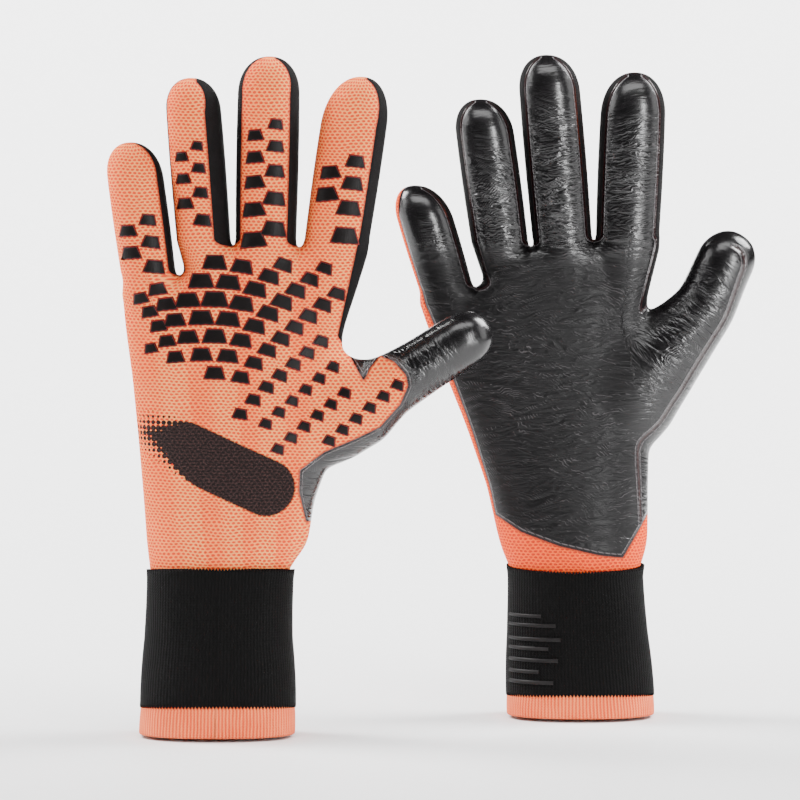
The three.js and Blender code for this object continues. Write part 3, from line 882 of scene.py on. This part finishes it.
def pad_list(glove):
    """Every grip pad on the back: its middle's x and z, its width, height and tilt, the digit and
    segment that it belongs to, and whether it is in the field of pads on the hand."""
    pads = []
    for finger in glove.fingers:
        low, high = max(finger["knit"][0], -1), finger["knit"][1]
        scale = (high - low) * finger["half"] / 21.5
        for column in (-1, 1):
            z, step = finger["tip"] - finger["first_pad"] - (0 if column > 0 else PAD_STAGGER), FIRST_STEP
            while z > max(finger["forks"]) - 3:
                down = np.clip((finger["tip"] - 20 - z) / 62, 0, 1)
                middle = finger["x"] + finger["lean"] * (z - finger["z"])
                middle = middle + 0.45 * (low + high) * finger["half"]
                width = (5.6 + 6.8 * down) * scale
                segment = "hand" if z < finger["starts"][0] else (
                    "base" if z < finger["bend"] - TIP_SPAN else "tip")
                digit = "hand" if segment == "hand" else finger["name"]
                pads.append((middle + column * 4.7 * scale, z, width, width * 0.46 + 0.7,
                             -0.10 * column + random.normal(0, 0.02), digit, segment, False))
                z -= step
                step = min(step + STEP_GROWTH, WIDEST_STEP)
    top = max(glove.fingers[1]["forks"]) - 0.5
    for row in range(-4, 17):
        for number in range(-8, 9):
            x = 4 + (number + 0.5 * (row % 2)) * HAND_COLUMN
            dx = x + 4
            slope = min(FIELD_BEND * dx, STEEPEST) if dx > 0 else -LITTLE_BEND * dx
            run = min(dx, STEEPEST / FIELD_BEND) if dx > 0 else dx
            z = top - HAND_ROW * row - abs(slope * run) / 2 - max(dx - run, 0) * slope
            x += 0.05 * (z - 170) * (dx / 50)
            tilt = -0.6 * slope if dx > 0 else 0.5 * slope
            size = np.clip(1 - abs(dx) / (100 if dx > 0 else 58) - abs(z - 184) / 88, 0.2, 1)
            x -= 0.38 * min(dx + 14, 0)
            pads.append((x, z, 3.4 + 8.2 * size, 2.4 + 3.4 * size, tilt, "hand", "hand", True))
    return pads


def dress_grips(glove, material, film):
    spec = glove.spec
    wanted = pad_list(glove)
    places = glove.on_back(np.array([p[0] for p in wanted]), np.array([p[1] for p in wanted], float))
    good = ~np.isnan(places[:, 1])
    for way in (-0.5, 0.5):
        ends = np.array([(p[0] + way * p[2], 0, p[1]) for p in wanted], float)
        good &= glove.field(ends) < -EDGE_GAP
    panels = Panels(glove, np.nan_to_num(places))
    knit, _ = panels.fabrics()
    groups = {}
    for number, (x, z, width, height, tilt, digit, segment, in_field) in enumerate(wanted):
        if not good[number] or knit[number] > -(0.8 + width * 0.34):
            continue
        if capsule(x, z, spec["print"], PRINT_RADIUS) < PRINT_GAP:
            continue
        lower = np.interp(x, *zip(*LOWEST_PADS))
        if in_field:
            owner = glove.fingers[panels.nearest[number]]
            if z < lower or z > max(owner["forks"]) - 6:
                continue
            off_middle = abs(panels.side[number]) > owner["half"] / 2
            if off_middle and z > np.interp(x, *zip(*spec["web"])) - CROTCH_GAP:
                continue
            if panels.on_thumb[number] and panels.along[number] > glove.thumb_starts[0]:
                digit, segment = "thumb", "base"
        groups.setdefault((digit, segment), []).append((x, z, width, height, tilt))
    for (digit, segment), pads in groups.items():
        points, faces, kinds, lifts = [], [], [], []
        for x, z, width, height, tilt in pads:
            for margin, rise, kind in ((FILM_MARGIN, FILM_RISE, 1), (0.0, PAD_RISE, 0)):
                across_steps, up_steps = 6, 3
                first = len(points)
                for shrink, level in ((0.0, -0.15), (0.0, rise * 0.75), (0.32, rise)):
                    for j in range(up_steps + 1):
                        for i in range(across_steps + 1):
                            v = j / up_steps
                            wide = width * (0.62 + 0.38 * (1 - v)) / 2 + margin - shrink
                            tall = height / 2 + margin - shrink
                            dx = (2 * i / across_steps - 1) * wide
                            dz = (2 * v - 1) * tall
                            if j == 0:
                                dz -= 0.28 * (i % 2) * (1 if kind == 0 else 0.4)
                            c, s = math.cos(tilt), math.sin(tilt)
                            points.append((x + dx * c - dz * s, z + dx * s + dz * c))
                            lifts.append(level)
                size = (across_steps + 1) * (up_steps + 1)
                cap = first + 2 * size
                for j in range(up_steps):
                    for i in range(across_steps):
                        a = cap + j * (across_steps + 1) + i
                        faces.append((a, a + 1, a + across_steps + 2, a + across_steps + 1))
                        kinds.append(kind)
                rim = list(range(across_steps + 1))
                rim += [j * (across_steps + 1) + across_steps for j in range(1, up_steps + 1)]
                rim += [up_steps * (across_steps + 1) + i for i in range(across_steps - 1, -1, -1)]
                rim += [j * (across_steps + 1) for j in range(up_steps - 1, 0, -1)]
                for layer in (0, 1):
                    for a, b in zip(rim, rim[1:] + rim[:1]):
                        base = first + layer * size
                        faces.append((base + a, base + b, base + size + b, base + size + a))
                        kinds.append(kind)
        flat = np.array(points)
        placed = glove.on_back(flat[:, 0], flat[:, 1])
        bad = np.isnan(placed[:, 1])
        placed[bad, 1] = -8.0
        out = unit(glove.slope(placed, 0.6))
        placed = placed + out * np.array(lifts)[:, None]
        used, renumbered = np.unique(np.array(faces), return_inverse=True)
        part = "hand" if segment == "hand" else f"{digit}_{segment}"
        label = f"{glove.side}_{part}_grips"
        cloth = np.stack([placed[:, 0], placed[:, 2], placed[:, 1]], 1)
        piece = mesh_object(label, glove, placed[used], renumbered.reshape(-1, 4)[:, ::-1],
                            [material, film], kinds,
                            values={"cloth": cloth[used], "seam_shade_print": np.full((len(used), 3), 9.0)})
        for polygon in piece.data.polygons:
            polygon.use_smooth = False
        bend(piece, glove, digit, segment)


# ---------- materials ----------

class Graph:
    """A small way to write a material's nodes as arithmetic."""

    def __init__(self, name):
        self.material = bpy.data.materials.new(name)
        self.material.use_nodes = True
        self.nodes, self.links = self.material.node_tree.nodes, self.material.node_tree.links
        self.shader = self.nodes["Principled BSDF"]

    def put(self, socket, value):
        if hasattr(value, "is_output"):
            self.links.new(value, socket)
        elif isinstance(value, tuple) and len(value) == 3 and socket.type == "RGBA":
            socket.default_value = (*value, 1)
        else:
            socket.default_value = value

    def math(self, kind, *values):
        node = self.nodes.new("ShaderNodeMath")
        node.operation = kind
        for socket, value in zip(node.inputs, values):
            self.put(socket, value)
        return node.outputs[0]

    def step(self, value, low, high):
        """0 below low, 1 above high; high may be the smaller, which turns it over."""
        node = self.nodes.new("ShaderNodeMapRange")
        node.interpolation_type = "SMOOTHSTEP"
        for socket, item in zip(node.inputs, (value, min(low, high), max(low, high),
                                              *((0.0, 1.0) if low < high else (1.0, 0.0)))):
            self.put(socket, item)
        return node.outputs[0]

    def attribute(self, name):
        node = self.nodes.new("ShaderNodeAttribute")
        node.attribute_name = name
        split = self.nodes.new("ShaderNodeSeparateXYZ")
        self.links.new(node.outputs["Vector"], split.inputs[0])
        return split.outputs

    def vector(self, *values):
        node = self.nodes.new("ShaderNodeCombineXYZ")
        for socket, value in zip(node.inputs, values):
            self.put(socket, value)
        return node.outputs[0]

    def noise(self, place, scale, detail=2.0, rough=0.5, warp=0.0):
        node = self.nodes.new("ShaderNodeTexNoise")
        self.put(node.inputs["Vector"], place)
        settings = {"Scale": scale, "Detail": detail, "Roughness": rough, "Distortion": warp}
        for key, value in settings.items():
            self.put(node.inputs[key], value)
        return node.outputs[0]

    def mix(self, share, a, b):
        node = self.nodes.new("ShaderNodeMix")
        node.data_type = "RGBA"
        self.put(node.inputs[0], share)
        self.put(node.inputs[6], a)
        self.put(node.inputs[7], b)
        return node.outputs[2]

    def bump(self, height, millimetres, strength=1.0):
        node = self.nodes.new("ShaderNodeBump")
        self.put(node.inputs["Strength"], strength)
        self.put(node.inputs["Distance"], millimetres * MM)
        self.put(node.inputs["Height"], height)
        self.put(self.shader.inputs["Normal"], node.outputs[0])
        self.put(self.shader.inputs["Coat Normal"], node.outputs[0])

    def fract(self, value):
        return self.math("FRACT", value)

    def shade(self, name, value):
        """Sets or links one of the shader's own sockets."""
        self.put(self.shader.inputs[name], value)

    def add(self, *values):
        total = values[0]
        for value in values[1:]:
            total = self.math("ADD", total, value)
        return total

    def times(self, *values):
        total = values[0]
        for value in values[1:]:
            total = self.math("MULTIPLY", total, value)
        return total

    def minus(self, a, b):
        return self.math("SUBTRACT", a, b)


def colour(red, green, blue):
    """A linear colour from its 0 to 255 screen values."""
    return tuple(((c / 255 + 0.055) / 1.055) ** 2.4 if c > 10 else c / 3295 for c in (red, green, blue))


PIT_WIDTH = 2.12
PIT_HEIGHT = 1.34


def knit_material():
    g = Graph("coral_knit")
    a, b, _ = g.attribute("cloth")
    away, shaded_side, printed = g.attribute("seam_shade_print")
    _, x, _ = g.attribute("place")
    place = g.vector(a, b, 0.0)
    sway = g.times(g.minus(g.noise(place, 0.09, 2.0), 0.5), 2.2)
    column = g.math("DIVIDE", g.add(a, sway), PIT_WIDTH)
    row = g.math("DIVIDE", g.add(b, sway), PIT_HEIGHT)
    odd = g.times(g.fract(g.times(g.math("FLOOR", row), 0.5)), 1.0)
    fx = g.minus(g.fract(g.add(column, odd)), 0.5)
    fy = g.minus(g.fract(row), 0.5)
    radius = g.math("SQRT", g.add(g.math("POWER", g.math("ABSOLUTE", g.times(fx, 3.0)), 2.0),
                                  g.math("POWER", g.math("ABSOLUTE", g.times(fy, 3.1)), 2.0)))
    loops = g.noise(place, 1.4, 3.0, 0.6)
    ridge = g.step(g.add(radius, g.times(g.minus(loops, 0.5), 0.7)), 0.65, 1.4)
    fibre = g.noise(g.vector(g.times(a, 3.0), g.times(b, 7.0), 0.0), 1.0, 3.0, 0.65)
    patch = g.noise(place, 0.05, 2.0)
    # painted shade: the knit turns deeper orange on the side of each finger away from the light, more on
    # the palm side, and within 4 mm of a seam; the patch noise adds real tone that varies at random
    shade_and_tone = g.add(g.times(g.step(shaded_side, 0.5, -1.0), 0.45), g.times(g.minus(patch, 0.5), 0.6),
                 g.times(g.step(away, 4.0, 0.0), 0.25), g.times(g.step(shaded_side, -1.3, -1.9), 0.6))
    shade_and_tone = g.math("MAXIMUM", g.math("MINIMUM", shade_and_tone, 1.0), 0.0)
    high = g.mix(shade_and_tone, colour(255, 158, 84), colour(255, 92, 28))
    low = g.mix(shade_and_tone, colour(228, 44, 6), colour(210, 26, 0))
    cloth = g.mix(ridge, low, high)
    cloth = g.mix(g.times(g.step(fibre, 0.62, 0.3), 0.3), cloth, colour(236, 120, 70))
    dots = g.math("SQRT", g.add(g.math("POWER", g.minus(g.fract(g.times(a, 0.42)), 0.5), 2.0),
                                g.math("POWER", g.minus(g.fract(g.times(b, 0.42)), 0.5), 2.0)))
    fade = g.times(g.step(x, -8.0, -40.0), g.add(g.times(dots, 26.0), 1.0))
    mask = g.step(g.add(printed, fade, g.times(g.minus(loops, 0.5), 1.0)), 0.5, -0.5)
    ink = g.mix(g.times(ridge, g.step(loops, 0.35, 0.7)), colour(24, 17, 17), colour(64, 44, 42))
    cloth = g.mix(mask, cloth, ink)
    groove = g.step(away, 0.0, 1.1)
    cloth = g.mix(g.times(groove, 1.0), colour(170, 66, 44), cloth)
    g.shade("Base Color", cloth)
    g.shade("Roughness", g.add(0.72, g.times(fibre, 0.2)))
    g.shade("Specular IOR Level", 0.15)
    g.bump(g.add(ridge, g.times(fibre, 0.25), g.times(groove, 1.6)), 0.5, 0.9)
    return g.material


CRINKLE = 1.5


def latex_material():
    g = Graph("black_latex")
    a, b, _ = g.attribute("cloth")
    away, shaded_side, _ = g.attribute("seam_shade_print")
    end, x, z = g.attribute("place")
    swirl = g.minus(g.noise(g.vector(a, b, 0.0), 0.03, 1.0), 0.5)
    lean = g.times(swirl, 9.0)
    p, q = g.add(a, lean), g.add(b, g.times(lean, 1.4))
    slant = g.add(g.times(g.step(z, 208.0, 178.0), 0.45), g.times(swirl, 1.5))
    wander = g.times(g.noise(g.vector(g.times(a, 0.08), g.times(b, 0.06), 3.0), 1.0, 3.0, 0.6), 11.0)
    wave = g.math("SINE", g.times(g.add(b, g.times(a, slant), wander), 2 * math.pi / CRINKLE))
    torn = g.noise(g.vector(g.times(p, 0.12), g.times(q, 0.5), 0.0), 1.0, 2.0, 0.5, 0.6)
    broken = g.step(torn, 0.38, 0.62)
    fine = g.add(0.3, g.times(g.add(0.5, g.times(wave, 0.5)), broken, 0.7))
    broad = g.noise(g.vector(g.times(p, 0.07), g.times(q, 0.26), 4.0), 1.0, 2.0, 0.5, 1.2)
    broad = g.minus(1.0, g.math("ABSOLUTE", g.times(g.minus(broad, 0.5), 3.2)))
    patch = g.step(g.noise(g.vector(a, b, 8.0), 0.045, 2.0), 0.36, 0.62)
    amount = g.times(g.step(end, 12.0, 30.0), g.add(0.45, g.times(patch, 0.55)))
    pores = g.noise(g.vector(a, b, 2.0), 2.6, 3.0, 0.7)
    stitches = g.step(g.fract(g.times(g.add(a, b), 0.42)), 0.1, 0.24)
    line = g.times(g.step(g.math("ABSOLUTE", g.minus(away, STITCH_INSET)), 0.36, 0.16), stitches)
    edge = g.step(away, 0.9, 0.2)
    # painted highlight: pale grey on the crests of the fine crinkles stands in for light caught on them
    crest_highlight = g.times(g.step(fine, 0.84, 1.0), amount)
    latex_with_highlights = g.mix(g.step(pores, 0.35, 0.65), colour(5, 4, 5), colour(12, 11, 12))
    latex_with_highlights = g.mix(g.times(crest_highlight, 0.6), latex_with_highlights, colour(78, 74, 76))
    # painted highlight: a fainter grey on the crests of the broad crinkles
    latex_with_highlights = g.mix(g.times(g.step(broad, 0.75, 1.0), 0.2), latex_with_highlights, colour(36, 33, 35))
    latex_with_highlights = g.mix(g.times(line, 0.8), latex_with_highlights, colour(96, 90, 92))
    latex_with_highlights = g.mix(g.times(edge, 0.7), latex_with_highlights, colour(48, 14, 14))
    g.shade("Base Color", latex_with_highlights)
    matte = g.times(g.step(z, 206.0, 190.0), g.step(x, 38.0, 16.0))
    g.shade("Roughness", g.add(0.17, g.times(pores, 0.16), g.times(matte, 0.2)))
    g.shade("Specular IOR Level", g.minus(0.5, g.times(matte, 0.28)))
    g.shade("Coat Weight", g.minus(0.25, g.times(matte, 0.22)))
    g.shade("Coat Roughness", 0.12)
    groove = g.step(away, 0.0, 1.6)
    height = g.add(g.times(fine, amount, 0.62), g.times(broad, g.add(0.2, amount), 1.5),
                   g.times(pores, 0.08), g.times(groove, 2.4), g.times(line, 0.9))
    g.bump(height, 0.22, 1.0)
    return g.material


def gusset_material():
    g = Graph("black_gusset")
    a, b, u = g.attribute("cloth")
    away, _, _ = g.attribute("seam_shade_print")
    weave = g.times(g.math("SINE", g.times(g.add(a, u), 6.0)), g.math("SINE", g.times(b, 6.0)))
    patch = g.noise(g.vector(a, b, u), 0.3, 3.0)
    shade = g.step(g.add(patch, g.times(weave, 0.2)), 0.2, 0.8)
    g.shade("Base Color", g.mix(shade, colour(6, 5, 5), colour(18, 15, 16)))
    g.shade("Roughness", g.add(0.6, g.times(patch, 0.2)))
    g.shade("Specular IOR Level", 0.12)
    g.bump(g.add(g.times(weave, 0.4), patch, g.times(g.step(away, 0.0, 1.4), 1.5)), 0.3, 0.7)
    return g.material


def rib_material(name, dark, pale, lift):
    """A fine rib: columns of loops with a groove between each two."""
    g = Graph(name)
    a, b, _ = g.attribute("cloth")
    away, side, _ = g.attribute("seam_shade_print")
    place = g.vector(a, b, 0.0)
    sway = g.times(g.minus(g.noise(place, 0.12, 2.0), 0.5), 0.8)
    column = g.math("SINE", g.times(g.add(a, sway), 2 * math.pi / TOOTH))
    slant = g.times(g.math("ABSOLUTE", g.minus(g.fract(g.times(a, 1 / TOOTH)), 0.5)), 1.6)
    course = g.math("SINE", g.times(g.add(b, slant), 2 * math.pi / 1.15))
    fuzz = g.noise(place, 1.1, 4.0, 0.7)
    patch = g.noise(place, 0.06, 2.0)
    height = g.add(g.times(column, 0.5), g.times(course, 0.28), g.times(fuzz, 0.6))
    shade = g.step(g.add(height, g.times(g.minus(patch, 0.5), 0.8)), -0.5, 1.1)
    g.shade("Base Color", g.mix(shade, dark, pale))
    g.shade("Roughness", g.add(0.7, g.times(fuzz, 0.25)))
    g.shade("Sheen Weight", lift)
    g.shade("Specular IOR Level", 0.12)
    g.bump(g.add(height, g.times(g.step(away, 0.0, 1.0), 1.0)), 0.4, 0.8)
    return g.material


def rubber_material(name, dark, pale, rough, shine):
    g = Graph(name)
    a, b, u = g.attribute("cloth")
    place = g.vector(a, b, u)
    grain = g.noise(place, 1.6, 3.0, 0.6)
    patch = g.noise(place, 0.16, 2.0)
    shade = g.step(g.add(g.times(grain, 0.4), g.times(patch, 0.6)), 0.35, 0.65)
    g.shade("Base Color", g.mix(shade, dark, pale))
    g.shade("Roughness", g.add(rough, g.times(grain, 0.2)))
    g.shade("Specular IOR Level", shine)
    g.shade("Coat Weight", shine / 3)
    g.shade("Coat Roughness", 0.2)
    g.bump(grain, 0.12, 0.6)
    return g.material


# ---------- the room ----------

BACKDROP_AIM = Vector((0, 1.05, 0.2))
FLOOR_LEVEL = -0.0015
FLOOR_SPOKES = 144
FLOOR_RINGS = 18
RISE_START = 0.45
RISE_RADIUS = 0.7
FLOOR_REACH = 11
WORLD_LIGHT = 0.07


def room():
    scene = bpy.context.scene
    g = Graph("paper")
    place = g.nodes.new("ShaderNodeTexCoord").outputs["Object"]
    grain = g.noise(place, 240.0, 3.0)
    g.shade("Base Color", g.mix(grain, (0.88, 0.88, 0.885), (0.93, 0.93, 0.93)))
    g.shade("Roughness", 0.6)
    points, faces = [(0, 0, FLOOR_LEVEL)], []
    arcs = np.linspace(0.08, 1.06, FLOOR_RINGS - 2)
    for step in range(FLOOR_SPOKES):
        turn = 2 * math.pi * step / FLOOR_SPOKES
        # the paper rises behind the gloves, at 90 degrees, and on their left, at 180 degrees
        off = min(abs(math.degrees(turn) - way) for way in (90, 180))
        rise = float(1 - ramp(off, 20, 35))
        rings = [(0.4, 0.0)]
        rings += [(RISE_START + RISE_RADIUS * math.sin(t), RISE_RADIUS * rise * (1 - math.cos(t)))
                  for t in arcs]
        rings.append((1.09 + FLOOR_REACH * (1 - rise), 0.38 * rise))
        points += [(r * math.cos(turn), r * math.sin(turn), FLOOR_LEVEL + z) for r, z in rings]
    for step in range(FLOOR_SPOKES):
        a, b = 1 + step * FLOOR_RINGS, 1 + (step + 1) % FLOOR_SPOKES * FLOOR_RINGS
        faces.append((0, a, b))
        faces += [(a + i, a + i + 1, b + i + 1, b + i) for i in range(FLOOR_RINGS - 1)]
    mesh = bpy.data.meshes.new("paper_sweep")
    mesh.from_pydata(points, [], faces)
    mesh.materials.append(g.material)
    mesh.polygons.foreach_set("use_smooth", np.ones(len(faces), bool))
    sweep = bpy.data.objects.new("paper_sweep", mesh)
    scene.collection.objects.link(sweep)
    world = bpy.data.worlds.new("room_light")
    world.use_nodes = True
    world.node_tree.nodes["Background"].inputs["Color"].default_value = (1.0, 1.0, 1.0, 1)
    world.node_tree.nodes["Background"].inputs["Strength"].default_value = WORLD_LIGHT
    scene.world = world
    target = Vector((0, 0, 0.15))
    for name, place, size, power in (
            ("key_strip", (0.86, -1.8, 0.40), (0.26, 1.0), 27.0),
            ("fill_left", (-1.6, -0.55, 0.7), (0.9, 1.2), 15.0),
            ("fill_right", (1.6, -0.5, 0.7), (0.9, 1.2), 10.0),
            ("top_soft", (0.0, -0.9, 1.5), (1.4, 0.6), 17.0),
            ("low_right", (0.7, -0.8, 0.05), (0.3, 0.25), 1.6),
            ("backdrop_left", (-0.9, 0.35, 1.0), (0.9, 0.6), 52.0),
            ("backdrop_right", (0.9, 0.35, 1.0), (0.9, 0.6), 52.0)):
        light = bpy.data.lights.new(name, "AREA")
        light.shape, light.size, light.size_y = "RECTANGLE", size[0], size[1]
        light.energy = power
        lamp = bpy.data.objects.new(name, light)
        lamp.location = place
        lamp.rotation_mode = "QUATERNION"
        aim = BACKDROP_AIM if name.startswith("backdrop") else target
        lamp.rotation_quaternion = (Vector(place) - aim).to_track_quat("Z", "Y")
        scene.collection.objects.link(lamp)


CAMERA_LENS = 312
CAMERA_TARGET = Vector((-0.0148, 0, 0.1381))
CAMERA_TILT = 4.2  # degrees that it looks down
CAMERA_DISTANCE = 2.95


def camera():
    data = bpy.data.cameras.new("camera")
    data.lens, data.sensor_width = CAMERA_LENS, 36
    made = bpy.data.objects.new("camera", data)
    tilt = math.radians(CAMERA_TILT)
    back = Vector((0, -math.cos(tilt), math.sin(tilt)))
    made.location = CAMERA_TARGET + back * CAMERA_DISTANCE
    made.rotation_mode = "QUATERNION"
    made.rotation_quaternion = back.to_track_quat("Z", "Y")
    data.clip_start, data.clip_end = 0.05, 30
    bpy.context.collection.objects.link(made)
    bpy.context.scene.camera = made


# ---------- making it ----------

camera()
room()
MATERIALS = {
    "knit": knit_material(), "latex": latex_material(), "gusset": gusset_material(),
    "rib": rib_material("black_rib", colour(1, 1, 1), colour(6, 5, 5), 0.0),
    "hem": rib_material("coral_rib", colour(216, 62, 24), colour(255, 140, 84), 0.05),
    "grip": rubber_material("grip_rubber", colour(7, 4, 4), colour(14, 8, 8), 0.34, 0.12),
    "film": rubber_material("grip_film", colour(84, 12, 12), colour(120, 24, 20), 0.45, 0.2),
    "bar": rubber_material("cuff_print", colour(15, 13, 13), colour(26, 24, 24), 0.5, 0.15),
}
for side in GLOVES:
    glove = Glove(side)
    dress_hand(glove, MATERIALS)
    dress_cuff(glove, MATERIALS)
    dress_grips(glove, MATERIALS["grip"], MATERIALS["film"])
    if side == "right":
        dress_bars(glove, MATERIALS["bar"])
